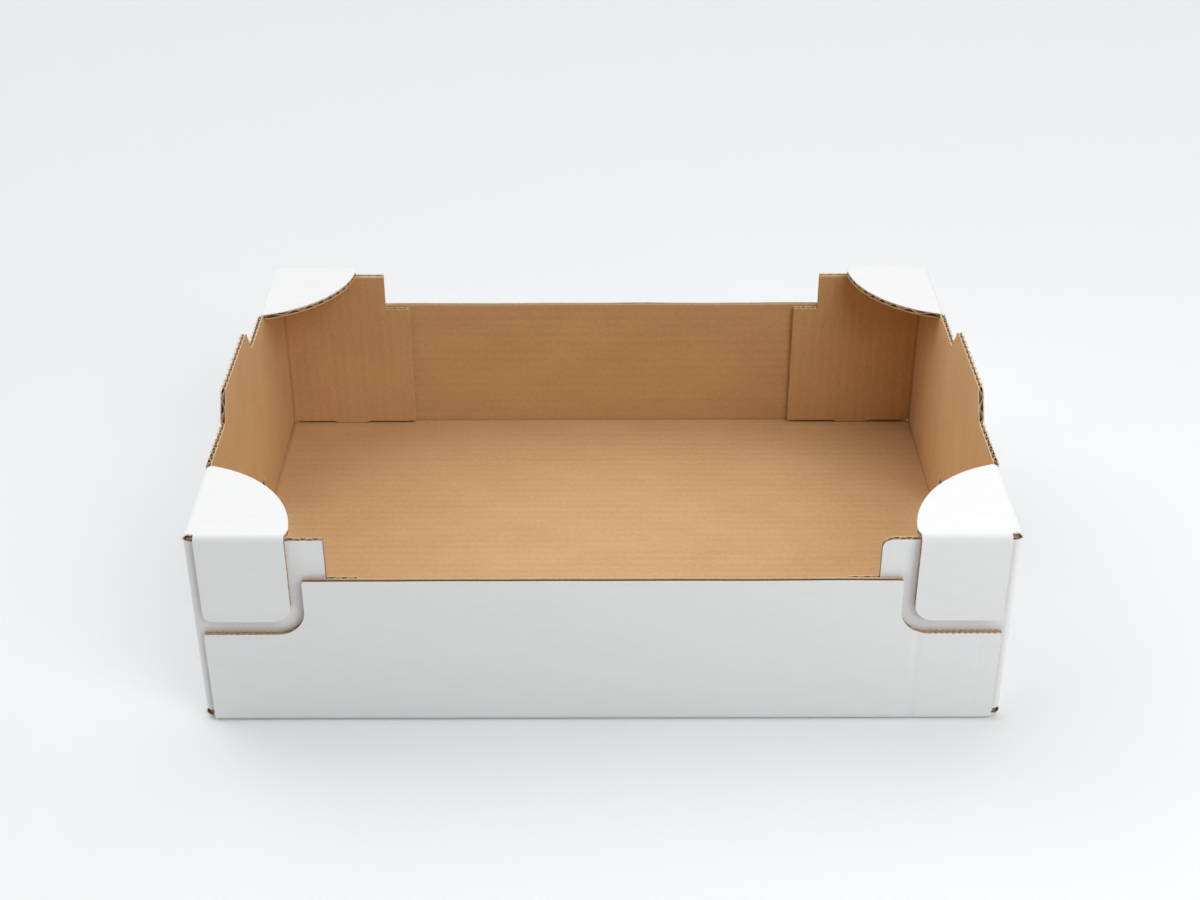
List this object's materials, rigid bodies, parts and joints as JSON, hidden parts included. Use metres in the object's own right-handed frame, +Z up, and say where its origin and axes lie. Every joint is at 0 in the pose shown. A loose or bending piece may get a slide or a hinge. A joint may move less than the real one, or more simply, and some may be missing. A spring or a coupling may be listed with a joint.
{
  "type": "cardboard tray box",
  "caption": "Open stacking tray box folded from corrugated board, white outside and kraft inside, with corner platforms, glued flaps and tabs, end crests and foot slots.",
  "frame": {"origin": "middle of the underside", "axes": "+X along the tray, +Y across it to the back, +Z up"},
  "size_m": [0.398, 0.298, 0.1252],
  "materials": {
    "inner_liner": "matte brown kraft",
    "outer_liner": "matte white",
    "fluting": "matte brown kraft, raw"
  },
  "bodies": {
    "root": {"tray": "inner_liner"}
  },
  "joints": []
}
